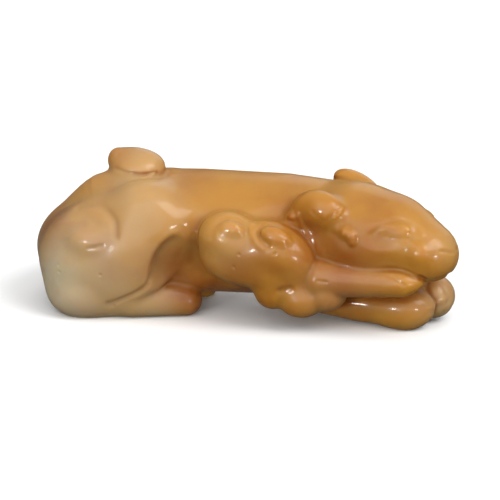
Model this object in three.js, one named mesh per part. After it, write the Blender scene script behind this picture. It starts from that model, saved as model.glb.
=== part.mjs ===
// A recumbent hound carved from one pebble of yellow jade.
// It lies with its chin on its fore paws, its head turned a little to its right,
// and it holds the stalk of a fungus spray that spreads over its right flank.
// X runs from the rump to the nose, Y to the hound's left, Z up from the ground.
import * as THREE from "three";

// Driving dimensions
const LENGTH = 73; // rump to nose, mm
const HEAD_TURN = -18; // degrees that the head is turned towards the hound's right

// Surface quality
const GRID = 0.8; // spacing of the sampling grid, hundredths of the length
const FACE_COUNT = 9600; // triangles that the finished surface keeps

// Colour of the stone
const HONEY_JADE = 0xbe8746;
const POLISH_ROUGHNESS = 0.22;

// Every size and place below is in hundredths of the length, so the pose and the
// carving keep their shape when the length changes.
const UNIT = LENGTH / 100;
const REGION_LOW = [-54, -25, -4];
const REGION_HIGH = [54, 20, 41];

// Forms
// A form is a function of a point that gives the distance to its surface,
// below zero inside the stone and above zero outside it.

// An egg-shaped mass, dipped towards +X by pitch degrees.
function mass(centre, radii, pitch = 0) {
  const cosine = Math.cos(THREE.MathUtils.degToRad(pitch));
  const sine = Math.sin(THREE.MathUtils.degToRad(pitch));
  const [cx, cy, cz] = centre;
  const [rx, ry, rz] = radii;
  return (x, y, z) => {
    const dx = x - cx;
    const dz = z - cz;
    const u = (cosine * dx - sine * dz) / rx;
    const v = (y - cy) / ry;
    const w = (sine * dx + cosine * dz) / rz;
    const reach = Math.sqrt(u * u + v * v + w * w);
    const slope = Math.sqrt((u / rx) ** 2 + (v / ry) ** 2 + (w / rz) ** 2);
    return (reach * (reach - 1)) / Math.max(slope, 1e-9);
  };
}

// A limb that thickens and thins along its stations, each one [x, y, z, radius].
function limb(stations) {
  const spans = stations.slice(1).map(([bx, by, bz, br], i) => {
    const [ax, ay, az, ar] = stations[i];
    const [ex, ey, ez] = [bx - ax, by - ay, bz - az];
    return { ax, ay, az, ar, ex, ey, ez, swell: br - ar, square: ex * ex + ey * ey + ez * ez };
  });
  return (x, y, z) => {
    let nearest = Infinity;
    for (const span of spans) {
      const dx = x - span.ax;
      const dy = y - span.ay;
      const dz = z - span.az;
      const along = (dx * span.ex + dy * span.ey + dz * span.ez) / span.square;
      const t = Math.min(Math.max(along, 0), 1);
      const gx = dx - span.ex * t;
      const gy = dy - span.ey * t;
      const gz = dz - span.ez * t;
      nearest = Math.min(nearest, Math.sqrt(gx * gx + gy * gy + gz * gz) - span.ar - span.swell * t);
    }
    return nearest;
  };
}

// A limb whose stations are joined by a smooth curve, with this many steps between two stations.
function curvedLimb(stations, steps) {
  const places = stations.map(([x, y, z]) => new THREE.Vector3(x, y, z));
  const curve = new THREE.CatmullRomCurve3(places, false, "catmullrom", 0.5);
  const last = stations.length - 1;
  const fine = curve.getPoints(last * steps).map((place, index) => {
    const from = Math.min(Math.floor(index / steps), last - 1);
    const radius = THREE.MathUtils.lerp(stations[from][3], stations[from + 1][3], index / steps - from);
    return [place.x, place.y, place.z, radius];
  });
  return limb(fine);
}

// Two distances joined with a fillet about as wide as the blend.
function joinDistances(first, second, blend) {
  const overlap = Math.max(blend - Math.abs(first - second), 0) / blend;
  return Math.min(first, second) - (overlap * overlap * blend) / 4;
}

function joined(blend, first, ...others) {
  return (x, y, z) => {
    let distance = first(x, y, z);
    for (const form of others) distance = joinDistances(distance, form(x, y, z), blend);
    return distance;
  };
}

function carvedAway(form, tool, blend) {
  return (x, y, z) => -joinDistances(-form(x, y, z), tool(x, y, z), blend);
}

// The other one of a pair, set closer to the middle and lower.
function otherOfPair(form, closer, lower) {
  return (x, y, z) => form(x, -y + closer, z + lower);
}

// A groove sunk along a smooth line drawn on the surface, or a ridge where depth is below zero.
function scored(form, points, width, depth) {
  const line = curvedLimb(points.map((point) => [...point, 0]), 4);
  return (x, y, z) => {
    const distance = form(x, y, z);
    // Away from the surface the line makes no difference.
    if (Math.abs(distance) > 3 * GRID) return distance;
    return distance + depth * Math.exp(-((line(x, y, z) / width) ** 2));
  };
}

// Two grooves that part the toes over the front of a paw, which points along yaw.
function withToes(form, [cx, cy, cz], radius, yaw) {
  const cosine = Math.cos(THREE.MathUtils.degToRad(yaw));
  const sine = Math.sin(THREE.MathUtils.degToRad(yaw));
  return [-1.5, 1.5].reduce((paw, side) => {
    const reach = Math.sqrt(radius ** 2 - side ** 2);
    const arc = [50, 20, -10, -40].map((angle) => {
      const ahead = reach * Math.cos(THREE.MathUtils.degToRad(angle));
      const above = reach * Math.sin(THREE.MathUtils.degToRad(angle));
      return [cx + cosine * ahead - sine * side, cy + sine * ahead + cosine * side, cz + above];
    });
    return scored(paw, arc, 0.7, 0.4);
  }, form);
}

// The trunk, hollowed at the waist behind the fungus and at the nape above it
function makeTrunk() {
  const body = limb([
    [-28, 0.5, 17.8, 13.4],
    [-11, 0.4, 18.0, 14.0],
    [8, 0, 18.5, 13.75],
    [20, -0.7, 18.4, 13.1],
  ]);
  const rump = mass([-31.6, 0.3, 13.4], [18.3, 14.8, 12.6], -4);
  const leftShoulder = mass([13.0, 6.4, 14.5], [9.5, 7.6, 10.5], 10);
  const waist = mass([-12.0, -15.2, 11.0], [5.2, 5.4, 9.0], 20);
  const nape = mass([8.6, -14.6, 27.8], [5.6, 3.2, 3.0]);
  return carvedAway(carvedAway(joined(3, body, rump, leftShoulder), waist, 3), nape, 3);
}

// The hind leg, folded with its foot forward on the ground. The thigh is cut off crisply in
// front, a crease parts it from the foot, and two curls are carved on the haunch.
function makeHindLeg() {
  const haunch = mass([-33.0, -10.6, 12.5], [12.9, 7.8, 12.7], -6);
  const thigh = mass([-22.8, -10.4, 17.4], [9.2, 7.0, 12.6], 25);
  const knee = mass([-17.6, -11.6, 21.4], [4.4, 3.9, 3.8]);
  const heel = mass([-37.0, -9.4, 4.8], [8.1, 8.4, 6.0]);
  const frontCut = mass([-12.4, -17.8, 12.4], [7.5, 8.0, 10.5], 12);
  const foot = limb([
    [-36.6, -10.8, 4.8, 5.0],
    [-25.0, -10.5, 4.5, 4.7],
    [-13.4, -7.4, 3.6, 3.7],
  ]);
  const curlCentre = mass([-34.2, -16.2, 19.1], [3.4, 1.8, 2.2]);
  const folded = carvedAway(joined(3, joined(7, haunch, thigh), knee, heel), frontCut, 0.8);
  const leg = joined(3, joined(1, folded, foot), curlCentre);

  const outerCurl = [
    [-37.2, -10.7, 25.3],
    [-34.6, -11.4, 26.2],
    [-31.8, -12.6, 26.4],
    [-29.3, -14.3, 25.4],
    [-27.5, -15.8, 23.8],
    [-27.1, -17.2, 21.0],
  ];
  const innerCurl = [
    [-42.3, -12.5, 21.3],
    [-39.7, -13.6, 22.4],
    [-37.5, -14.2, 23.2],
    [-35.4, -14.8, 23.4],
    [-33.6, -15.8, 22.6],
  ];
  const footCrease = [
    [-19.6, -15.6, 11.0],
    [-21.3, -15.9, 8.6],
    [-25.0, -16.2, 6.6],
    [-29.0, -16.4, 4.4],
  ];
  let carved = scored(leg, outerCurl, 1.0, 0.5);
  carved = scored(carved, innerCurl, 0.9, -0.3);
  return scored(carved, footCrease, 0.9, 0.45);
}

// The tail, laid forward over the rump with its end turned back on itself
function makeTail() {
  const band = curvedLimb(
    [
      [-45.0, 0, 16.0, 2.6],
      [-39.6, -1.5, 22.2, 3.4],
      [-33.8, -3.0, 26.9, 4.0],
      [-26.0, -3.6, 29.8, 3.8],
      [-23.4, -1.6, 32.4, 3.2],
      [-26.5, -0.4, 33.4, 3.0],
      [-30.5, -0.8, 34.6, 2.0],
    ],
    4,
  );
  const curl = mass([-26.2, -0.8, 33.0], [6.3, 5.4, 3.2], 2);
  return joined(2, band, curl);
}

// The head, carved about its own middle plane and then turned on the neck.
// Its own X runs from the poll to the nose.
const NECK_TOP = [26.4, -3.8];

function turnedHead(form) {
  const cosine = Math.cos(THREE.MathUtils.degToRad(HEAD_TURN));
  const sine = Math.sin(THREE.MathUtils.degToRad(HEAD_TURN));
  return (x, y, z) => {
    const dx = x - NECK_TOP[0];
    const dy = y - NECK_TOP[1];
    return form(cosine * dx + sine * dy, cosine * dy - sine * dx, z);
  };
}

function makeHead() {
  const cranium = mass([0, 0, 21.0], [15.4, 12.2, 11.4], 8);
  const brow = mass([9.5, 0, 22.9], [8.5, 8.6, 7.6], 26);
  const muzzle = mass([15.8, 0, 19.5], [8.4, 7.4, 6.9], 14);
  const skull = joined(3, cranium, brow, muzzle);

  // The curl of hair on the cheek, and the eye under its lid, both as they are on the right
  const cheekCurl = curvedLimb(
    [
      [0.6, -11.0, 24.8, 0.8],
      [2.2, -11.0, 24.6, 1.4],
      [3.6, -11.2, 24.0, 1.2],
      [4.1, -11.4, 22.9, 0.8],
    ],
    3,
  );
  const socket = mass([12.0, -12.3, 24.2], [5.4, 3.9, 3.3], 10);
  const lid = [
    [7.8, -9.6, 24.6],
    [9.5, -8.4, 26.4],
    [11.7, -6.7, 27.7],
    [14.0, -5.3, 27.4],
    [15.4, -5.3, 26.0],
    [15.6, -6.2, 24.2],
  ];
  const rightSide = scored(carvedAway(joined(1, skull, cheekCurl), socket, 1.6), lid, 0.7, 0.2);
  return (x, y, z) => rightSide(x, -Math.abs(y), z);
}

function makeRightEar() {
  const lobe = mass([-5.0, -9.5, 28.4], [6.0, 3.7, 4.2], 10);
  const hollow = mass([-2.8, -14.2, 26.4], [2.7, 1.5, 1.2]);
  return carvedAway(lobe, hollow, 1);
}

function makeLeftEar() {
  return mass([-5.7, 9.1, 28.4], [6.6, 3.2, 3.3], 23);
}

// The fold of skin from the right ear down to the throat
function makeNeckFold() {
  return limb([
    [14.6, -10.2, 28.5, 2.2],
    [11.8, -11.2, 24.6, 1.9],
    [13.0, -11.0, 20.0, 1.6],
  ]);
}

// The forelegs, stretched forward under the chin, with the throat resting between them
function makeForelegs() {
  const right = limb([
    [14, -3.4, 6.4, 4.4],
    [26, -4.6, 5.0, 4.5],
    [37.4, -6.2, 4.7, 4.5],
  ]);
  const rightPaw = mass([36.8, -6.2, 4.9], [7.2, 4.6, 4.8]);
  const leftPaw = [42.4, 0.6, 5.7];
  const leftRadius = 5.0;
  const left = limb([
    [9, 8.6, 5.4, 4.6],
    [22, 6.6, 5.0, 4.7],
    [34, 3.6, 5.2, 4.8],
    [...leftPaw, leftRadius],
  ]);
  const throat = limb([
    [14, 0, 8.5, 6.0],
    [30, -0.8, 9.0, 4.4],
    [38.5, -2.2, 9.4, 2.8],
  ]);
  return joined(0.6, joined(2, throat, right, rightPaw), withToes(left, leftPaw, leftRadius, -20));
}

// The fungus spray on the right flank: a cap of two lobes, each with a raised swelling,
// three scallops under it, and the stalk that runs forward under the cheek to the mouth
function makeFungus() {
  const middle = mass([5.0, -13.6, 17.0], [13.6, 6.0, 7.2], 24);
  const backLobe = mass([-2.6, -13.8, 21.2], [6.0, 5.2, 5.8]);
  const frontLobe = mass([10.0, -14.2, 18.7], [8.8, 5.6, 6.0], 34);
  const lowRim = mass([-1.2, -13.4, 16.2], [7.3, 5.0, 5.5], 15);
  const cap = joined(1.6, joined(2.5, middle, backLobe, lowRim), frontLobe);
  const backSwelling = mass([-0.6, -17.6, 23.9], [3.3, 1.8, 2.3], 10);
  const frontSwelling = mass([9.6, -17.8, 22.7], [3.9, 2.0, 2.5], 25);
  const scallops = joined(
    1,
    mass([8.2, -12.8, 9.3], [4.5, 4.8, 4.4]),
    mass([14.6, -13.2, 8.0], [5.6, 4.8, 4.6]),
    mass([20.2, -13.0, 9.4], [4.8, 4.4, 4.2]),
  );
  const shaft = limb([
    [19.0, -13.2, 13.0, 4.5],
    [37.6, -13.9, 13.1, 3.1],
  ]);
  const tip = mass([38.0, -13.8, 13.5], [4.6, 2.9, 2.5]);
  const blade = joined(2, joined(0.6, cap, backSwelling, frontSwelling), scallops);
  const spray = joined(0.8, blade, joined(1.5, shaft, tip));

  const ringOverBackSwelling = [
    [-4.9, -18.2, 22.6],
    [-4.7, -17.8, 24.4],
    [-3.2, -17.1, 25.8],
    [-1.0, -16.3, 26.4],
    [1.2, -16.6, 26.0],
    [2.6, -17.6, 24.8],
  ];
  const crescentByFrontSwelling = [
    [6.3, -16.2, 25.0],
    [5.9, -17.4, 23.8],
    [6.5, -18.6, 22.8],
    [7.9, -19.4, 21.8],
  ];
  const ridgeBetweenLobes = [
    [3.5, -15.6, 25.6],
    [4.1, -17.0, 24.2],
    [4.7, -17.9, 22.9],
    [5.6, -18.6, 22.0],
    [7.0, -19.2, 21.3],
  ];
  const hollowInsideRim = [
    [-7.0, -16.4, 18.4],
    [-4.6, -18.2, 18.2],
    [-1.0, -19.0, 16.4],
    [2.5, -19.4, 15.8],
    [7.0, -19.6, 15.4],
    [11.6, -19.0, 14.0],
  ];
  const creaseOverScallops = [
    [10.6, -17.6, 10.8],
    [12.7, -17.6, 11.5],
  ];
  let carved = scored(spray, ringOverBackSwelling, 0.9, 0.4);
  carved = scored(carved, crescentByFrontSwelling, 0.8, 0.5);
  carved = scored(carved, ridgeBetweenLobes, 0.8, -0.4);
  carved = scored(carved, hollowInsideRim, 2.6, 0.35);
  return scored(carved, creaseOverScallops, 0.8, 0.4);
}

// Whole figure
function makeHound() {
  const trunk = makeTrunk();
  const rightLeg = makeHindLeg();
  const leftLeg = otherOfPair(rightLeg, 0.8, 1.6);
  const rightHip = mass([-22.6, -8.6, 25.6], [5.8, 5.8, 5.5]);
  const tail = makeTail();
  const forelegs = makeForelegs();
  const neckFold = makeNeckFold();
  const head = turnedHead(makeHead());
  const rightEar = turnedHead(makeRightEar());
  const leftEar = turnedHead(makeLeftEar());
  const fungus = makeFungus();

  // The thigh stands crisply off the belly and melts into the back and the rump.
  const legBlend = (x, z) => {
    const towardsBack = THREE.MathUtils.smoothstep(z, 18, 27);
    const towardsRump = THREE.MathUtils.smoothstep(-x, 28, 40);
    return 1.4 + 4.6 * Math.max(towardsBack, towardsRump);
  };

  return (x, y, z) => {
    const blend = legBlend(x, z);
    let d = trunk(x, y, z);
    d = joinDistances(d, rightLeg(x, y, z), blend);
    d = joinDistances(d, leftLeg(x, y, z), blend);
    d = joinDistances(d, rightHip(x, y, z), 3.0);
    d = joinDistances(d, tail(x, y, z), 1.5);
    d = joinDistances(d, forelegs(x, y, z), 1.0);
    d = joinDistances(d, neckFold(x, y, z), 2.0);
    d = joinDistances(d, head(x, y, z), 1.0);
    d = joinDistances(d, rightEar(x, y, z), 2.2);
    d = joinDistances(d, leftEar(x, y, z), 1.2);
    d = joinDistances(d, fungus(x, y, z), 0.9);
    // The underside is ground flat on the ground plane.
    return Math.max(d, -z);
  };
}

// Surface
// The form is sampled on a grid. Each sheet of surface that passes through a cell gets one
// point there, and each grid edge that it crosses gets two triangles between the four cells
// around it.
const AXES = [0, 1, 2];
const CORNERS = Array.from({ length: 8 }, (_, corner) => AXES.map((axis) => (corner >> axis) & 1));

// An edge runs along an axis between two corners.
const EDGES = AXES.flatMap((axis) => {
  const starts = CORNERS.map((_, from) => from).filter((from) => CORNERS[from][axis] === 0);
  return starts.map((from) => ({ axis, from, to: from + (1 << axis) }));
});

// A side holds the four edges whose ends both lie on it.
function edgesOfSide(axis, side) {
  const lies = ({ from, to }) => CORNERS[from][axis] === side && CORNERS[to][axis] === side;
  return EDGES.map((_, index) => index).filter((index) => lies(EDGES[index]));
}
const SIDES = AXES.flatMap((axis) => [edgesOfSide(axis, 0), edgesOfSide(axis, 1)]);

// The four cells around an edge, as steps back along the other two axes.
const AROUND_EDGE = [
  [0, 0],
  [1, 0],
  [1, 1],
  [0, 1],
];

// The crossed edges of one cell, grouped by the sheet of surface that crosses them. Edges on
// one side of the cell are on one sheet, but where all four edges of a side are crossed, only
// the two that meet at an inside corner are.
function sheetsOfCell(values) {
  const isCrossed = ({ from, to }) => values[from] < 0 !== values[to] < 0;
  const insideCorner = ({ from, to }) => (values[from] < 0 ? from : to);
  let sheets = EDGES.flatMap((edge, index) => (isCrossed(edge) ? [[index]] : []));
  for (const side of SIDES) {
    const crossed = side.filter((index) => isCrossed(EDGES[index]));
    for (const first of crossed) {
      for (const second of crossed) {
        const together = crossed.length === 2 || insideCorner(EDGES[first]) === insideCorner(EDGES[second]);
        const a = sheets.find((sheet) => sheet.includes(first));
        const b = sheets.find((sheet) => sheet.includes(second));
        if (!together || a === b) continue;
        const others = sheets.filter((sheet) => sheet !== a && sheet !== b);
        sheets = [...others, [...a, ...b]];
      }
    }
  }
  return sheets;
}

function sampleForm(form) {
  const [nx, ny, nz] = REGION_LOW.map((low, axis) => Math.ceil((REGION_HIGH[axis] - low) / GRID) + 1);
  // The ground plane lies halfway between two layers of samples.
  const floor = -(Math.floor(-REGION_LOW[2] / GRID) + 0.5) * GRID;
  const samples = new Float64Array(nx * ny * nz);
  for (let k = 0; k < nz; k += 1) {
    for (let j = 0; j < ny; j += 1) {
      for (let i = 0; i < nx; i += 1) {
        const index = i + nx * (j + ny * k);
        samples[index] = form(REGION_LOW[0] + i * GRID, REGION_LOW[1] + j * GRID, floor + k * GRID);
      }
    }
  }
  return { samples, nx, ny, nz, low: [REGION_LOW[0], REGION_LOW[1], floor] };
}

function wrapForm(form) {
  const { samples, nx, ny, nz, low } = sampleForm(form);
  const strides = [1, nx, nx * ny];
  const offsets = CORNERS.map((corner) => corner[0] + corner[1] * strides[1] + corner[2] * strides[2]);
  const pointAt = new Int32Array(samples.length * EDGES.length).fill(-1);
  const points = [];
  for (let k = 0; k < nz - 1; k += 1) {
    for (let j = 0; j < ny - 1; j += 1) {
      for (let i = 0; i < nx - 1; i += 1) {
        const cell = i + nx * (j + ny * k);
        const inside = samples[cell] < 0;
        if (offsets.every((offset) => samples[cell + offset] < 0 === inside)) continue;
        const values = offsets.map((offset) => samples[cell + offset]);
        for (const sheet of sheetsOfCell(values)) {
          const sum = [0, 0, 0];
          for (const edge of sheet) {
            const { from, to } = EDGES[edge];
            const share = values[from] / (values[from] - values[to]);
            for (const axis of AXES) {
              const crossing = THREE.MathUtils.lerp(CORNERS[from][axis], CORNERS[to][axis], share);
              sum[axis] += crossing / sheet.length;
            }
            pointAt[cell * EDGES.length + edge] = points.length;
          }
          points.push([i, j, k].map((place, axis) => low[axis] + (place + sum[axis]) * GRID));
        }
      }
    }
  }

  const faces = [];
  for (let k = 1; k < nz - 1; k += 1) {
    for (let j = 1; j < ny - 1; j += 1) {
      for (let i = 1; i < nx - 1; i += 1) {
        const sample = i + nx * (j + ny * k);
        const inside = samples[sample] < 0;
        for (const axis of AXES) {
          if (inside === samples[sample + strides[axis]] < 0) continue;
          const across = (axis + 1) % 3;
          const beyond = (axis + 2) % 3;
          const ring = AROUND_EDGE.map(([u, v]) => {
            const cell = sample - u * strides[across] - v * strides[beyond];
            const from = (u << across) + (v << beyond);
            const side = EDGES.findIndex((edge) => edge.axis === axis && edge.from === from);
            return pointAt[cell * EDGES.length + side];
          });
          if (!inside) ring.reverse();
          faces.push([ring[0], ring[1], ring[2]], [ring[0], ring[2], ring[3]]);
        }
      }
    }
  }
  return { points, faces };
}

// Moves each point along the form's slope until it lies on the surface.
function settleOnForm(points, form) {
  const step = 0.01;
  for (const point of points) {
    for (let pass = 0; pass < 2; pass += 1) {
      const [x, y, z] = point;
      const distance = form(x, y, z);
      const slope = [
        (form(x + step, y, z) - distance) / step,
        (form(x, y + step, z) - distance) / step,
        (form(x, y, z + step) - distance) / step,
      ];
      const steepness = slope[0] ** 2 + slope[1] ** 2 + slope[2] ** 2;
      const move = THREE.MathUtils.clamp(distance / Math.max(steepness, 0.25), -GRID / 4, GRID / 4);
      point.forEach((value, axis) => {
        point[axis] = value - move * slope[axis];
      });
    }
  }
}

// Thinning
// Flat stretches need few triangles and carving needs many. Neighbouring points are merged
// in rounds, cheapest first. The cost of a merge is how far the merged point would lie
// from the planes of the faces around it, kept for each point as a 10-number sum.
function planeSum([ax, ay, az], [bx, by, bz], [cx, cy, cz]) {
  const ux = bx - ax;
  const uy = by - ay;
  const uz = bz - az;
  const vx = cx - ax;
  const vy = cy - ay;
  const vz = cz - az;
  const nx = uy * vz - uz * vy;
  const ny = uz * vx - ux * vz;
  const nz = ux * vy - uy * vx;
  const size = Math.hypot(nx, ny, nz) || 1;
  const [a, b, c] = [nx / size, ny / size, nz / size];
  const d = -(a * ax + b * ay + c * az);
  const sum = [a * a, a * b, a * c, a * d, b * b, b * c, b * d, c * c, c * d, d * d];
  return sum.map((value) => value * size);
}

// A light pull towards the point's own place keeps flat stretches evenly divided.
function placeSum([x, y, z], weight) {
  const d = x * x + y * y + z * z;
  return [1, 0, 0, -x, 1, 0, -y, 1, -z, d].map((value) => value * weight);
}

function costAt(q, [x, y, z]) {
  const square = q[0] * x * x + q[4] * y * y + q[7] * z * z;
  const mixed = q[1] * x * y + q[2] * x * z + q[5] * y * z;
  return square + 2 * mixed + 2 * (q[3] * x + q[6] * y + q[8] * z) + q[9];
}

function bestPlace(q) {
  const system = new THREE.Matrix3().set(q[0], q[1], q[2], q[1], q[4], q[5], q[2], q[5], q[7]);
  return new THREE.Vector3(-q[3], -q[6], -q[8]).applyMatrix3(system.invert()).toArray();
}

function faceNormal(a, b, c) {
  const u = [b[0] - a[0], b[1] - a[1], b[2] - a[2]];
  const v = [c[0] - a[0], c[1] - a[1], c[2] - a[2]];
  return [u[1] * v[2] - u[2] * v[1], u[2] * v[0] - u[0] * v[2], u[0] * v[1] - u[1] * v[0]];
}

// True when the face would turn over or become a sliver with one point moved.
function spoils(face, moved, place, points) {
  const before = face.map((index) => points[index]);
  const after = face.map((index) => (moved.has(index) ? place : points[index]));
  const old = faceNormal(...before);
  const now = faceNormal(...after);
  const dot = old[0] * now[0] + old[1] * now[1] + old[2] * now[2];
  const sides = after.map((point, i) => {
    const next = after[(i + 1) % 3];
    return (point[0] - next[0]) ** 2 + (point[1] - next[1]) ** 2 + (point[2] - next[2]) ** 2;
  });
  const size = Math.hypot(...now);
  const plump = (2 * Math.sqrt(3) * size) / (sides[0] + sides[1] + sides[2]);
  return dot < 0.4 * Math.hypot(...old) * size || plump < 0.12;
}

function thinSurface({ points, faces }, goal) {
  const sums = points.map((point) => placeSum(point, 1e-3));
  for (const face of faces) {
    const sum = planeSum(...face.map((index) => points[index]));
    for (const index of face) {
      sum.forEach((value, term) => {
        sums[index][term] += value;
      });
    }
  }

  let left = faces;
  while (left.length > goal) {
    const around = points.map(() => []);
    left.forEach((face) => face.forEach((index) => around[index].push(face)));
    const neighbours = around.map((ring) => new Set(ring.flat()));

    const pairs = [];
    neighbours.forEach((ring, a) => {
      for (const b of ring) {
        if (b <= a) continue;
        const q = sums[a].map((value, term) => value + sums[b][term]);
        const place = bestPlace(q);
        pairs.push({ a, b, q, place, cost: costAt(q, place) });
      }
    });
    pairs.sort((first, second) => first.cost - second.cost);

    const busy = new Set();
    const mergedInto = new Map();
    const round = Math.ceil(pairs.length / 4);
    let spare = left.length - goal;
    for (const { a, b, q, place } of pairs.slice(0, round)) {
      if (spare <= 0) break;
      const ring = new Set([...neighbours[a], ...neighbours[b]]);
      if ([...ring].some((index) => busy.has(index))) continue;
      const shared = [...neighbours[a]].filter((index) => neighbours[b].has(index));
      // Two faces meet at the pair, so they share two neighbours besides themselves.
      if (shared.length !== 4) continue;
      const moved = new Set([a, b]);
      const kept = [...around[a], ...around[b]].filter((face) => !(face.includes(a) && face.includes(b)));
      if (kept.some((face) => spoils(face, moved, place, points))) continue;
      points[a] = place;
      sums[a] = q;
      mergedInto.set(b, a);
      ring.forEach((index) => busy.add(index));
      spare -= 2;
    }
    left = left
      .map((face) => face.map((index) => mergedInto.get(index) ?? index))
      .filter(([a, b, c]) => a !== b && b !== c && c !== a);
  }
  return { points, faces: left };
}

// Stone
function makeStoneGeometry() {
  const hound = makeHound();
  const surface = wrapForm(hound);
  settleOnForm(surface.points, hound);
  const { points, faces } = thinSurface(surface, FACE_COUNT);
  // Points of the ground rim settle on the ground.
  const rim = 0.12;
  const positions = faces.flat().flatMap((index) => {
    const [x, y, z] = points[index];
    return [x * UNIT, y * UNIT, z < rim ? 0 : z * UNIT];
  });
  const geometry = new THREE.BufferGeometry();
  geometry.setAttribute("position", new THREE.Float32BufferAttribute(positions, 3));
  geometry.computeBoundingBox();
  const middle = geometry.boundingBox.getCenter(new THREE.Vector3());
  geometry.translate(-middle.x, -middle.y, 0);
  geometry.computeVertexNormals();
  return geometry;
}

const jade = new THREE.MeshStandardMaterial({
  name: "honey_jade",
  color: HONEY_JADE,
  roughness: POLISH_ROUGHNESS,
  metalness: 0,
});

const stone = new THREE.Mesh(makeStoneGeometry(), jade);
stone.name = "jade_dog";

const figure = new THREE.Group();
figure.name = "jade_dog_figure";
figure.add(stone);

export default figure;
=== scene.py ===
"""A recumbent hound carved from one pebble of honey-yellow jade, lying on a pale table."""
import math

import bpy
import numpy as np
from mathutils import Matrix, Vector


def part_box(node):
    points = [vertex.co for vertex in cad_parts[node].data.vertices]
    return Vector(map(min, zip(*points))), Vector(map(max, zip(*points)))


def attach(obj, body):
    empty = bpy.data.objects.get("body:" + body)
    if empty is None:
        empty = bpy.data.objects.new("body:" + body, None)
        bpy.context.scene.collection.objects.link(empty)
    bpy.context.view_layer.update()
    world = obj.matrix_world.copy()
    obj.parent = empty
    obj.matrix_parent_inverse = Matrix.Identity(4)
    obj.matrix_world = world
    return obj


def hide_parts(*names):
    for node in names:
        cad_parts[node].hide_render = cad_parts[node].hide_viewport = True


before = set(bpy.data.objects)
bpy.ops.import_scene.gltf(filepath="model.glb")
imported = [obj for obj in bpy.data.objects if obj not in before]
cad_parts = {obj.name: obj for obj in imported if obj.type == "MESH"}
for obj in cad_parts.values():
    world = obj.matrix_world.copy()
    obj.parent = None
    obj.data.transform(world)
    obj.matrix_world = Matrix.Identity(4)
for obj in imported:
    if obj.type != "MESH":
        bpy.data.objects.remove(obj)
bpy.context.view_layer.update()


# The pebble
# The whole figure is one pebble of honey-yellow jade. The carver roughs it out with drills
# and wheels into a few rounded masses that melt into each other, then grinds the lines in.
# Measures are in hundredths of the length: X from rump to nose, Y to its left, Z up.
LENGTH = 0.073
UNIT = LENGTH / 100


def mass(at, centre, radii, pitch=0.0):
    """Distance to an egg-shaped mass, dipped towards +X by pitch degrees."""
    cosine, sine = math.cos(math.radians(pitch)), math.sin(math.radians(pitch))
    dx, dy, dz = (at - centre).T
    u = (cosine * dx - sine * dz) / radii[0]
    v = dy / radii[1]
    w = (sine * dx + cosine * dz) / radii[2]
    reach = np.sqrt(u * u + v * v + w * w)
    slope = np.sqrt((u / radii[0]) ** 2 + (v / radii[1]) ** 2 + (w / radii[2]) ** 2)
    return reach * (reach - 1) / np.maximum(slope, 1e-9)


def limb(at, stations):
    """Distance to a limb that thickens and thins along its stations, each (x, y, z, radius)."""
    nearest = np.full(len(at), np.inf)
    for start, end in zip(np.array(stations[:-1]), np.array(stations[1:])):
        along = end - start
        offset = at - start[:3]
        t = np.clip(offset @ along[:3] / (along[:3] @ along[:3]), 0, 1)
        gap = offset - t[:, None] * along[:3]
        reach = np.sqrt(np.einsum("ij,ij->i", gap, gap))
        nearest = np.minimum(nearest, reach - start[3] - t * along[3])
    return nearest


def smooth(stations, steps=4):
    """Stations along the smooth curve through the given ones."""
    given = np.array(stations, float)
    ends = np.vstack([2 * given[0] - given[1], given, 2 * given[-1] - given[-2]])
    fine = []
    for i in range(len(given) - 1):
        a, b, c, d = ends[i:i + 4]
        for t in np.arange(steps) / steps:
            curve = 2 * b + (c - a) * t + (2 * a - 5 * b + 4 * c - d) * t**2
            place = 0.5 * (curve + (3 * b - a - 3 * c + d) * t**3)
            place[3] = b[3] + (c[3] - b[3]) * t
            fine.append(place)
    return fine + [given[-1]]


def join(blend, first, *others):
    """Masses that meet in a fillet about as wide as the blend."""
    distance = first
    for other in others:
        overlap = np.maximum(blend - np.abs(distance - other), 0) / blend
        distance = np.minimum(distance, other) - overlap * overlap * blend / 4
    return distance


def carve(blend, form, tool):
    """The form with the tool's shape ground out of it."""
    return -join(blend, -form, tool)


def score(at, form, points, width, depth):
    """A groove ground along a smooth line on the surface, or a ridge where depth is below zero."""
    line = smooth([(*point, 0.0) for point in points])
    reach = 3 * width
    places = np.array(line)[:, :3]
    near = np.all((at > places.min(0) - reach) & (at < places.max(0) + reach), axis=1)
    scored = form.copy()
    scored[near] += depth * np.exp(-((limb(at[near], line) / width) ** 2))
    return scored


def ramp(value, low, high):
    t = np.clip((value - low) / (high - low), 0, 1)
    return t * t * (3 - 2 * t)


# The trunk
# The back is one long smooth roll of the pebble, ground smooth with a broad wheel, then
# hollowed behind the fungus at the waist and above it at the nape.
BACK = [(-28, 0.5, 17.8, 13.4), (-11, 0.4, 18.0, 14.0), (8, 0, 18.5, 13.75), (20, -0.7, 18.4, 13.1)]


def trunk(at):
    back = limb(at, BACK)
    rump = mass(at, (-31.6, 0.3, 13.4), (18.3, 14.8, 12.6), -4)
    left_shoulder = mass(at, (13.0, 6.4, 14.5), (9.5, 7.6, 10.5), 10)
    waist = mass(at, (-12.0, -15.2, 11.0), (5.2, 5.4, 9.0), 20)
    nape = mass(at, (8.6, -14.6, 27.8), (5.6, 3.2, 3.0))
    return carve(3, carve(3, join(3, back, rump, left_shoulder), waist), nape)


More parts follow.
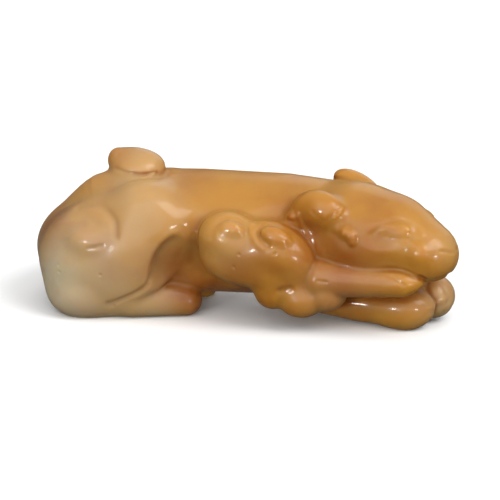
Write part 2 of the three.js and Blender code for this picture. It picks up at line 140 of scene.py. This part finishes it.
# The hind legs
# Each haunch is ground as a full round with a scroll on it, cut off crisply at the thigh's
# front, with its foot lying forward on the ground under it.
SCROLL_EYE = (-34.2, -16.2, 19.1)
PIT_RADIUS = 0.35
PIT_DEPTH = 0.2
HAUNCH_LINES = [
    ([(-37.2, -10.7, 25.3), (-34.6, -11.4, 26.2), (-31.8, -12.6, 26.4),
      (-29.3, -14.3, 25.4), (-27.5, -15.8, 23.8), (-27.1, -17.2, 21.0)], 1.0, 0.35),
    ([(-42.3, -12.5, 21.3), (-39.7, -13.6, 22.4), (-37.5, -14.2, 23.2),
      (-35.4, -14.8, 23.4), (-33.6, -15.8, 22.6)], 0.9, -0.13),
    ([(-19.6, -15.6, 11.0), (-21.3, -15.9, 8.6), (-25.0, -16.2, 6.6), (-29.0, -16.4, 4.4)], 0.9, 0.45),
    ([(-33.4, -18.6, 18.0), (-32.4, -18.7, 18.2), (-30.2, -18.4, 18.9)], 0.5, 0.15),
]
HAUNCH_PITS = [(-30.6, -18.8, 12.0), (-40.9, -17.0, 13.1), (-40.6, -17.0, 11.4), (-28.2, -15.9, 3.8)]


def score_all(at, form, lines):
    """Every line ground in, each one (points, width, depth)."""
    for points, width, depth in lines:
        form = score(at, form, points, width, depth)
    return form


def pit(at, form, centre):
    """A tiny pit in the stone."""
    reach = np.linalg.norm(at - centre, axis=1)
    return form + PIT_DEPTH * np.exp(-((reach / PIT_RADIUS) ** 2))


def hind_leg(at):
    haunch = mass(at, (-33.0, -10.6, 12.5), (12.9, 7.8, 12.7), -6)
    thigh = mass(at, (-22.8, -10.4, 17.4), (9.2, 7.0, 12.6), 25)
    knee = mass(at, (-17.6, -11.6, 21.4), (4.4, 3.9, 3.8))
    heel = mass(at, (-37.0, -9.4, 4.8), (8.1, 8.4, 6.0))
    front_cut = mass(at, (-12.4, -17.8, 12.4), (7.5, 8.0, 10.5), 12)
    foot = limb(at, [(-36.6, -10.8, 4.8, 5.0), (-25.0, -10.5, 4.5, 4.7), (-13.4, -7.4, 3.6, 3.7)])
    folded = carve(0.8, join(3, join(7, haunch, thigh), knee, heel), front_cut)
    leg = join(3, join(1, folded, foot), mass(at, SCROLL_EYE, (3.4, 1.8, 2.2)))
    leg = score_all(at, leg, HAUNCH_LINES)
    for centre in HAUNCH_PITS:
        leg = pit(at, leg, centre)
    return leg


# The tail
# A thick band left standing on the rump, which rises over it and turns back on itself in a
# flattened curl, undercut at its edge with a fine wheel.
TAIL_LINES = [
    ([(-30.3, -5.1, 33.2), (-27.6, -6.5, 32.8), (-24.0, -6.7, 32.4), (-20.8, -4.6, 32.4)], 0.5, 0.25),
    ([(-23.1, -7.0, 31.7), (-21.0, -4.9, 32.4)], 0.4, -0.2),
    ([(-31.5, -2.9, 35.3), (-30.3, -2.5, 36.2), (-29.7, -5.0, 34.1)], 0.8, 0.08),
]


def tail(at):
    band = [
        (-45.0, 0, 16.0, 2.6), (-39.6, -1.5, 22.2, 3.4), (-33.8, -3.0, 26.9, 4.0), (-26.0, -3.6, 29.8, 3.8),
        (-23.4, -1.6, 32.4, 3.2), (-26.5, -0.4, 33.4, 3.0), (-30.5, -0.8, 34.6, 2.0),
    ]
    curl = mass(at, (-26.2, -0.8, 33.0), (6.3, 5.4, 3.2), 2)
    return score_all(at, join(2, limb(at, smooth(band)), curl), TAIL_LINES)


# The head
# A blunt, heavy head turned to the hound's right, carved about its own middle plane: a
# drooping eye under its lid, a short curl of hair on each cheek, and the nose pad.
HEAD_TURN = math.radians(-18)
NECK_TOP = (26.4, -3.8)
CHEEK_CURL = [
    (0.6, -11.0, 24.8, 0.8), (2.2, -11.0, 24.6, 1.4),
    (3.6, -11.2, 24.0, 1.2), (4.1, -11.4, 22.9, 0.8),
]
FACE_LINES = [
    ([(7.8, -9.6, 24.6), (9.5, -8.4, 26.4), (11.7, -6.7, 27.7),
      (14.0, -5.3, 27.4), (15.4, -5.3, 26.0), (15.6, -6.2, 24.2)], 0.7, 0.12),
    ([(12.2, -8.0, 23.9), (14.0, -7.5, 23.8), (15.9, -6.5, 23.9), (17.7, -5.6, 23.9)], 0.5, 0.05),
    ([(14.5, -3.8, 27.8), (16.8, -3.4, 26.4), (18.0, -4.2, 25.0)], 0.9, -0.06),
    ([(22.4, -4.0, 21.5), (22.9, -3.0, 21.2), (23.6, -1.9, 20.8), (24.0, -0.9, 20.6)], 0.4, 0.25),
    ([(18.2, -5.7, 15.2), (19.6, -3.6, 13.8), (21.3, -1.9, 14.1), (22.6, 0, 15.0)], 0.6, 0.4),
]


def along_head(at):
    """Places measured from the poll along the head's own middle plane."""
    cosine, sine = math.cos(HEAD_TURN), math.sin(HEAD_TURN)
    dx, dy = at[:, 0] - NECK_TOP[0], at[:, 1] - NECK_TOP[1]
    return np.stack([cosine * dx + sine * dy, cosine * dy - sine * dx, at[:, 2]], axis=1)


def head(at):
    at = np.stack([at[:, 0], -np.abs(at[:, 1]), at[:, 2]], axis=1)
    cranium = mass(at, (0, 0, 21.0), (15.4, 12.2, 11.4), 8)
    brow = mass(at, (9.5, 0, 22.9), (8.5, 8.6, 7.6), 26)
    muzzle = mass(at, (15.8, 0, 19.5), (8.4, 7.4, 6.9), 14)
    form = join(1, join(3, cranium, brow, muzzle), limb(at, smooth(CHEEK_CURL, 3)))
    form = carve(1.6, form, mass(at, (12.0, -12.3, 24.2), (5.4, 3.9, 3.3), 10))
    eyeball = mass(at, (12.6, -5.2, 25.2), (3.2, 2.0, 2.0))
    lip = mass(at, (17.8, -5.5, 20.6), (2.4, 1.9, 2.3))
    form = join(1.5, join(0.8, form, eyeball), lip)
    return score_all(at, form, FACE_LINES)


# The ears and the neck
# Small ears folded down behind the brow, the near one hollowed with a ball drill, and a fold
# of skin that runs from it to the throat.
EAR_LINES = [
    ([(-5.3, -13.2, 28.8), (-3.4, -12.9, 27.6), (-2.1, -12.5, 27.0),
      (-0.8, -12.1, 28.6), (0.0, -10.9, 29.7)], 0.5, 0.1),
    ([(-0.3, -11.7, 28.7), (0.1, -11.0, 29.4), (0.6, -9.8, 29.7)], 0.35, -0.2),
    ([(-0.3, -11.8, 27.7), (0.3, -11.3, 28.4), (0.7, -10.2, 29.3)], 0.35, -0.2),
]
NECK_LINES = [
    ([(13.8, -13.1, 27.6), (14.3, -13.0, 26.2), (14.8, -12.6, 24.4), (15.6, -13.0, 22.9)], 0.5, -0.25),
    ([(14.4, -10.7, 31.8), (12.3, -10.8, 29.6), (10.2, -10.3, 27.4), (10.0, -11.6, 25.9)], 0.8, 0.2),
]


def right_ear(at):
    lobe = mass(at, (-5.0, -9.5, 28.4), (6.0, 3.7, 4.2), 10)
    hollow = mass(at, (-2.8, -14.5, 26.2), (2.7, 1.5, 1.2))
    return score_all(at, carve(1, lobe, hollow), EAR_LINES)


def left_ear(at):
    return mass(at, (-5.7, 9.1, 28.4), (6.6, 3.2, 3.3), 23)


def neck_fold(at):
    return limb(at, [(14.6, -10.2, 28.5, 2.2), (11.8, -11.2, 24.6, 1.9), (13.0, -11.0, 20.0, 1.6)])


# The forelegs
# Both lie stretched forward on the ground under the chin, with the throat between them, and
# the left paw has its toes marked with two fine grooves.
LEFT_PAW = (42.4, 0.6, 5.7)
LEFT_PAW_RADIUS = 5.0
LEFT_PAW_YAW = -20
TOE_SPACING = 3.0
TOE_ANGLES = (50, 20, -10, -40)
PAW_LINES = [
    ([(43.0, -8.4, 5.9), (43.9, -4.2, 5.7), (45.7, -2.9, 6.6)], 0.6, -0.15),
    ([(43.2, -8.0, 4.7), (44.3, -4.2, 4.6), (46.3, -2.6, 5.3)], 0.8, 0.15),
]


def toes(at, form, paw, radius, yaw):
    """Two grooves over the front of a paw that points along yaw."""
    cosine, sine = math.cos(math.radians(yaw)), math.sin(math.radians(yaw))
    for side in (-TOE_SPACING / 2, TOE_SPACING / 2):
        reach = math.sqrt(radius**2 - side**2)
        arc = []
        for angle in np.radians(TOE_ANGLES):
            ahead = reach * math.cos(angle)
            arc.append((
                paw[0] + cosine * ahead - sine * side,
                paw[1] + sine * ahead + cosine * side,
                paw[2] + reach * math.sin(angle),
            ))
        form = score(at, form, arc, 0.7, 0.15)
    return form


def forelegs(at):
    right = limb(at, [(14, -3.4, 6.4, 4.4), (26, -4.6, 5.0, 4.5), (37.4, -6.2, 4.7, 4.5)])
    right_paw = mass(at, (36.8, -6.2, 4.9), (7.2, 4.6, 4.8))
    wrist = [(9, 8.6, 5.4, 4.6), (22, 6.6, 5.0, 4.7), (34, 3.6, 5.2, 4.8)]
    left = limb(at, [*wrist, (*LEFT_PAW, LEFT_PAW_RADIUS)])
    left = toes(at, left, LEFT_PAW, LEFT_PAW_RADIUS, LEFT_PAW_YAW)
    throat = limb(at, [(14, 0, 8.5, 6.0), (30, -0.8, 9.0, 4.4), (38.5, -2.2, 9.4, 2.8)])
    legs = join(0.6, join(2, throat, right, right_paw), left)
    return score_all(at, legs, PAW_LINES)


# The fungus spray
# A cap of two lobes on the right flank, each with a raised swelling ringed by a groove,
# three scallops under it, and a thick pointed stalk that runs forward to the mouth.
FUNGUS_LINES = [
    ([(-4.9, -18.2, 22.6), (-4.7, -17.8, 24.4), (-3.2, -17.1, 25.8),
      (-1.0, -16.3, 26.4), (1.2, -16.6, 26.0), (2.6, -17.6, 24.8)], 0.9, 0.2),
    ([(6.3, -16.2, 25.0), (5.9, -17.4, 23.8), (6.5, -18.6, 22.8), (7.9, -19.4, 21.8)], 0.8, 0.3),
    ([(3.5, -15.6, 25.6), (4.1, -17.0, 24.2), (4.7, -17.9, 22.9),
      (5.6, -18.6, 22.0), (7.0, -19.2, 21.3)], 0.8, -0.25),
    ([(-7.0, -16.4, 18.4), (-4.6, -18.2, 18.2), (-1.0, -19.0, 16.4),
      (2.5, -19.4, 15.8), (7.0, -19.6, 15.4), (11.6, -19.0, 14.0)], 2.6, 0.35),
    ([(10.6, -17.6, 10.8), (12.7, -17.6, 11.5)], 0.8, 0.4),
    ([(7.1, -18.2, 25.2), (8.9, -18.4, 25.4), (10.9, -18.2, 24.8),
      (12.4, -18.5, 23.5), (13.0, -18.7, 21.7)], 0.6, 0.12),
    ([(19.3, -17.6, 13.6), (21.1, -17.6, 13.5)], 0.4, 0.2),
    ([(35.8, -16.4, 15.3), (37.3, -16.9, 14.6), (38.7, -17.1, 13.8)], 0.4, 0.2),
]
FUNGUS_PITS = [(1.5, -19.3, 19.2), (0.2, -18.9, 16.0), (9.9, -19.7, 20.0)]


def fungus(at):
    middle = mass(at, (5.0, -13.6, 17.0), (13.6, 6.0, 7.2), 24)
    back_lobe = mass(at, (-2.6, -13.8, 21.2), (6.0, 5.2, 5.8))
    front_lobe = mass(at, (10.0, -14.2, 18.7), (8.8, 5.6, 6.0), 34)
    low_rim = mass(at, (-1.2, -13.4, 16.2), (7.3, 5.0, 5.5), 15)
    back_swelling = mass(at, (-0.6, -17.1, 23.9), (3.3, 1.8, 2.3), 10)
    front_swelling = mass(at, (9.6, -17.3, 22.7), (3.9, 2.0, 2.5), 25)
    cap = join(1.6, join(2.5, middle, back_lobe, low_rim), front_lobe)
    scallops = join(
        1,
        mass(at, (8.2, -12.8, 9.3), (4.5, 4.8, 4.4)),
        mass(at, (14.6, -13.2, 8.0), (5.6, 4.8, 4.6)),
        mass(at, (20.2, -13.0, 9.4), (4.8, 4.4, 4.2)),
    )
    shaft = limb(at, [(19.0, -13.2, 13.0, 4.5), (37.6, -13.9, 13.1, 3.1)])
    stalk = join(1.5, shaft, mass(at, (38.0, -13.8, 13.5), (4.6, 2.9, 2.5)))
    blade = join(2.0, join(0.6, cap, back_swelling, front_swelling), scallops)
    form = score_all(at, join(0.8, blade, stalk), FUNGUS_LINES)
    for centre in FUNGUS_PITS:
        form = pit(at, form, centre)
    return form


# The figure
# Every mass is ground into its neighbour, crisply where skin folds and softly over the back,
# and the underside is rubbed flat where the feet stand.
def hound(at):
    to_back = ramp(at[:, 2], 18, 27)
    to_rump = ramp(-at[:, 0], 28, 40)
    leg_blend = 1.4 + 4.6 * np.maximum(to_back, to_rump)
    form = join(leg_blend, trunk(at), hind_leg(at), hind_leg(at * (1, -1, 1) + (0, 0.8, 1.6)))
    form = join(4.0, form, mass(at, (-23.0, -8.6, 25.5), (5.8, 5.8, 5.5)))
    form = join(1.5, form, tail(at))
    form = join(1.0, form, forelegs(at))
    form = join(2.0, form, neck_fold(at))
    form = join(0.6, form, mass(at, (12.5, -12.2, 26.8), (1.3, 1.1, 1.0)))
    from_poll = along_head(at)
    form = join(1.0, form, head(from_poll))
    form = join(2.2, form, right_ear(from_poll))
    form = join(1.2, form, left_ear(from_poll))
    form = score_all(at, form, NECK_LINES)
    form = join(0.9, form, fungus(at))
    return np.maximum(form, -at[:, 2])


BOX_MIDDLE = (-0.123, -0.053, 0.0)
GRIND = 0.3
POLISHED_FACES = 190000
PROBE = 0.01
LEAST_STEEP = 0.25
LONGEST_MOVE = 0.4
to_measure = Matrix.Translation(BOX_MIDDLE) @ Matrix.Scale(1 / UNIT, 4)


def worked(mesh, modifier, **settings):
    """A mesh with one of Blender's modifiers applied to it."""
    blank = bpy.data.objects.new("blank", mesh)
    bpy.context.collection.objects.link(blank)
    tool = blank.modifiers.new(modifier.lower(), modifier)
    for name, value in settings.items():
        setattr(tool, name, value)
    shaped = blank.evaluated_get(bpy.context.evaluated_depsgraph_get())
    result = bpy.data.meshes.new_from_object(shaped)
    bpy.data.objects.remove(blank)
    return result


def places(mesh):
    flat = np.empty(len(mesh.vertices) * 3, np.float32)
    mesh.vertices.foreach_get("co", flat)
    return flat.reshape(-1, 3).astype(float)


def slope(at, distance):
    """Which way, and how steeply, the form rises from each place."""
    return np.stack([(hound(at + PROBE * axis) - distance) / PROBE for axis in np.eye(3)], axis=1)


def grind(at, passes):
    """Each place moved along the form's slope until it lies on the surface."""
    for _ in range(passes):
        distance = hound(at)
        rise = slope(at, distance)
        steep = np.maximum(np.einsum("ij,ij->i", rise, rise), LEAST_STEEP)
        at = at - np.clip(distance / steep, -LONGEST_MOVE, LONGEST_MOVE)[:, None] * rise
    return at


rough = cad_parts["jade_dog"].data.copy()
rough.transform(to_measure)
even = worked(rough, "REMESH", mode="VOXEL", voxel_size=GRIND)
ground = grind(places(even), 3)
even.vertices.foreach_set("co", ground.astype(np.float32).ravel())
polished = even
if len(even.polygons) * 2 > POLISHED_FACES:
    polished = worked(even, "DECIMATE", ratio=POLISHED_FACES / (2 * len(even.polygons)))
surface = places(polished)
rise = slope(surface, hound(surface))
outward = rise / np.linalg.norm(rise, axis=1, keepdims=True)


# The material paints darker amber shade where this is high, and makes those places rougher.
def hollow(at, outward, reaches):
    """How shut in each place is by the stone around it, from 0 in the open to 1 in a cleft."""
    shut = np.zeros(len(at))
    for reach in reaches:
        shut += np.clip(1 - hound(at + outward * reach) / reach, 0, 1)
    return shut / len(reaches)


def spread(at, clouds):
    """How far clouds of another tone, each (centre, radius, strength), reach each place."""
    clear = np.ones(len(at))
    for centre, radius, strength in clouds:
        gap = at - centre
        clear *= 1 - strength * np.exp(-np.einsum("ij,ij->i", gap, gap) / radius**2)
    return 1 - clear


PALE_CLOUDS = [
    ((-45, -13, 5), 16, 1.0),
    ((-30, -15, 14), 14, 0.35),
    ((-22, -12, 27), 8, 0.25),
    ((-26, -3, 33), 9, 0.30),
    ((-18, -13, 1), 9, 0.40),
    ((46, -2, 4), 8, 0.50),
    ((-1, -19, 20), 7, 0.20),
    ((24, -17, 11), 9, 0.25),
    ((50, -12, 22), 5, 0.25),
    ((-42, 14, 6), 14, 0.60),
]
# Painted shade: darker amber patches where shade falls, behind the thigh, under the cheek and jaw, at the
# nape, under the belly and at the hind toe; a few are the stone's own amber tone.
SHADE_AND_AMBER_CLOUDS = [
    ((-13, -13, 12), 7, 0.7),
    ((25, -15, 18), 7, 0.85),
    ((18, -11, 22), 7, 0.8),
    ((12, -11, 27), 5, 0.6),
    ((-46, -8, 19), 7, 0.6),
    ((3, -19, 15), 5, 0.35),
    ((-6, -10, 6), 10, 0.8),
    ((-11, -9, 2), 4, 0.6),
    ((-30, -2, 36), 4, 0.4),
]
tones = {
    # hollow: how shut in each place is, used for painted shade in the creases and for roughness
    "hollow": hollow(surface, outward, (0.8, 1.6, 3.2, 6.0)),
    "pale": spread(surface, PALE_CLOUDS),
    # amber: painted shade in the recesses, with some of the stone's own amber tone
    "amber": spread(surface, SHADE_AND_AMBER_CLOUDS),
}
for name, values in tones.items():
    polished.attributes.new(name, "FLOAT", "POINT").data.foreach_set("value", values.astype(np.float32))

low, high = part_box("jade_dog")
in_frame = np.clip((surface - BOX_MIDDLE) * UNIT, low, high)
polished.vertices.foreach_set("co", in_frame.astype(np.float32).ravel())
polished.shade_smooth()
polished.normals_split_custom_set_from_vertices(outward.tolist())
polished.update()

stone = bpy.data.objects.new("polished_jade_dog", polished)
bpy.context.collection.objects.link(stone)

CLOUD_SCALE = 150
VEIN_SCALE = 75
GRAIN_SCALE = 420
HONEY = (0.39, 0.18, 0.019, 1)
PALE = (0.46, 0.41, 0.28, 1)
AMBER = (0.23, 0.06, 0.001, 1)


def jade():
    """Nephrite with pale clouds and amber veins, highly polished, with darker amber painted into its
    hollows as shade.
    """
    material = bpy.data.materials.new("honey_jade")
    material.use_nodes = True
    nodes, links = material.node_tree.nodes, material.node_tree.links
    shader = nodes["Principled BSDF"]
    shader.inputs["IOR"].default_value = 1.35
    shader.inputs["Coat Weight"].default_value = 0.3
    shader.inputs["Coat Roughness"].default_value = 0.12
    shader.inputs["Subsurface Weight"].default_value = 0.8
    shader.inputs["Subsurface Radius"].default_value = (1.0, 0.55, 0.2)
    shader.inputs["Subsurface Scale"].default_value = 0.004
    place = nodes.new("ShaderNodeTexCoord").outputs["Object"]

    def noise(scale, detail):
        node = nodes.new("ShaderNodeTexNoise")
        node.inputs["Scale"].default_value = scale
        node.inputs["Detail"].default_value = detail
        links.new(place, node.inputs["Vector"])
        return node.outputs["Fac"]

    def tone(name):
        node = nodes.new("ShaderNodeAttribute")
        node.attribute_name = name
        return node.outputs["Fac"]

    def mapped(value, low, high, to_low, to_high):
        node = nodes.new("ShaderNodeMapRange")
        node.interpolation_type = "SMOOTHSTEP"
        node.inputs["From Min"].default_value = low
        node.inputs["From Max"].default_value = high
        node.inputs["To Min"].default_value = to_low
        node.inputs["To Max"].default_value = to_high
        links.new(value, node.inputs["Value"])
        return node.outputs["Result"]

    def product(first, second):
        node = nodes.new("ShaderNodeMath")
        node.operation = "MULTIPLY"
        links.new(first, node.inputs[0])
        links.new(second, node.inputs[1])
        return node.outputs["Value"]

    def mixed(share, first, second):
        node = nodes.new("ShaderNodeMix")
        node.data_type = "RGBA"
        links.new(share, node.inputs["Factor"])
        for socket, colour in ((node.inputs["A"], first), (node.inputs["B"], second)):
            if isinstance(colour, tuple):
                socket.default_value = colour
            else:
                links.new(colour, socket)
        return node.outputs["Result"]

    clouds = mapped(noise(CLOUD_SCALE, 4), 0.3, 0.7, 0.75, 1.25)
    colour = mixed(product(tone("pale"), clouds), HONEY, PALE)
    # Painted shade, partly real amber tone: darker amber laid where the shade-and-amber clouds reach.
    colour = mixed(product(tone("amber"), clouds), colour, AMBER)
    colour = mixed(mapped(noise(VEIN_SCALE, 5), 0.4, 0.75, 0, 0.5), colour, AMBER)
    # Painted shade: darker amber in creases and clefts, stronger the more shut in a place is.
    colour = mixed(mapped(tone("hollow"), 0.15, 0.65, 0, 0.9), colour, AMBER)
    links.new(colour, shader.inputs["Base Color"])
    links.new(mapped(tone("hollow"), 0.1, 0.45, 0.4, 1.0), shader.inputs["Roughness"])

    bump = nodes.new("ShaderNodeBump")
    bump.inputs["Strength"].default_value = 0.05
    bump.inputs["Distance"].default_value = 0.0004
    links.new(noise(GRAIN_SCALE, 2), bump.inputs["Height"])
    links.new(bump.outputs["Normal"], shader.inputs["Normal"])
    return material


polished.materials.clear()
polished.materials.append(jade())
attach(stone, "root")
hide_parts("jade_dog")


# The table
# A wide sheet of matt white paper under the figure, which throws no light or reflection
# back up on the stone.
PAPER = (0.96, 0.96, 0.96, 1)
PAPER_ROUGHNESS = 0.9
PAPER_SIZE = 6
bpy.ops.mesh.primitive_plane_add(size=PAPER_SIZE, location=(0, 0, 0))
table = bpy.context.object
table.name = "table"
paper = bpy.data.materials.new("white_paper")
paper.use_nodes = True
sheet = paper.node_tree.nodes["Principled BSDF"]
sheet.inputs["Base Color"].default_value = PAPER
sheet.inputs["Roughness"].default_value = PAPER_ROUGHNESS
table.data.materials.append(paper)
table.visible_glossy = False
table.visible_diffuse = False


# The lights
# Large soft boxes around a white tent, and a small low one on either side of the front that
# make the highlights on the haunch and the jaw, and on the knee and the ear.
FAR = 1.6
NEAR = 0.8


def soft_box(name, azimuth, elevation, distance, size, power):
    """A square lamp aimed at the figure, azimuth 0 in front of it and 90 beyond its nose."""
    data = bpy.data.lights.new(name, "AREA")
    data.size = size
    data.energy = power
    lamp = bpy.data.objects.new(name, data)
    bpy.context.collection.objects.link(lamp)
    turn, rise = math.radians(azimuth), math.radians(elevation)
    towards = Vector((math.sin(turn) * math.cos(rise), -math.cos(turn) * math.cos(rise), math.sin(rise)))
    lamp.location = towards * distance
    lamp.rotation_euler = towards.to_track_quat("Z", "Y").to_euler()


soft_box("tent_top", 0, 80, FAR, 2.4, 7)
soft_box("key", 65, 45, FAR, 0.9, 16)
soft_box("back", 170, 30, FAR, 1.2, 4)
soft_box("fill", -5, 26, FAR, 1.6, 14)
soft_box("front_left", -22, 6, NEAR, 0.09, 2.0)
soft_box("front_right", 43, 6, NEAR, 0.09, 1.6)


def tent(at_floor, overhead):
    """White cloth above the table, darker towards the floor, where the tent is open."""
    world = bpy.data.worlds.new("tent")
    world.use_nodes = True
    nodes, links = world.node_tree.nodes, world.node_tree.links
    split = nodes.new("ShaderNodeSeparateXYZ")
    links.new(nodes.new("ShaderNodeTexCoord").outputs["Generated"], split.inputs["Vector"])
    height = nodes.new("ShaderNodeMapRange")
    height.interpolation_type = "SMOOTHSTEP"
    height.inputs["From Min"].default_value = 0.1
    height.inputs["From Max"].default_value = 0.8
    height.inputs["To Min"].default_value = at_floor
    height.inputs["To Max"].default_value = overhead
    links.new(split.outputs["Z"], height.inputs["Value"])
    links.new(height.outputs["Result"], nodes["Background"].inputs["Strength"])
    nodes["Background"].inputs["Color"].default_value = (1, 1, 1, 1)
    return world


bpy.context.scene.world = tent(0.09, 0.60)
bpy.context.scene.view_settings.view_transform = "Standard"


# The camera
# A long lens a little above the table, from the hound's right and slightly ahead of it.
VIEW_AZIMUTH = math.radians(12)
VIEW_ELEVATION = math.radians(18)
VIEW_DISTANCE = 960 * UNIT
SEEN_WIDTH = 114.155 * UNIT
AIMED_AT = (Vector((0, 0, 14)) - Vector(BOX_MIDDLE)) * UNIT

camera_data = bpy.data.cameras.new("camera")
camera_data.lens = camera_data.sensor_width * VIEW_DISTANCE / SEEN_WIDTH
camera = bpy.data.objects.new("camera", camera_data)
bpy.context.collection.objects.link(camera)
back = Vector((
    math.sin(VIEW_AZIMUTH) * math.cos(VIEW_ELEVATION),
    -math.cos(VIEW_AZIMUTH) * math.cos(VIEW_ELEVATION),
    math.sin(VIEW_ELEVATION),
))
camera.location = AIMED_AT + back * VIEW_DISTANCE
camera.rotation_euler = back.to_track_quat("Z", "Y").to_euler()
bpy.context.scene.camera = camera
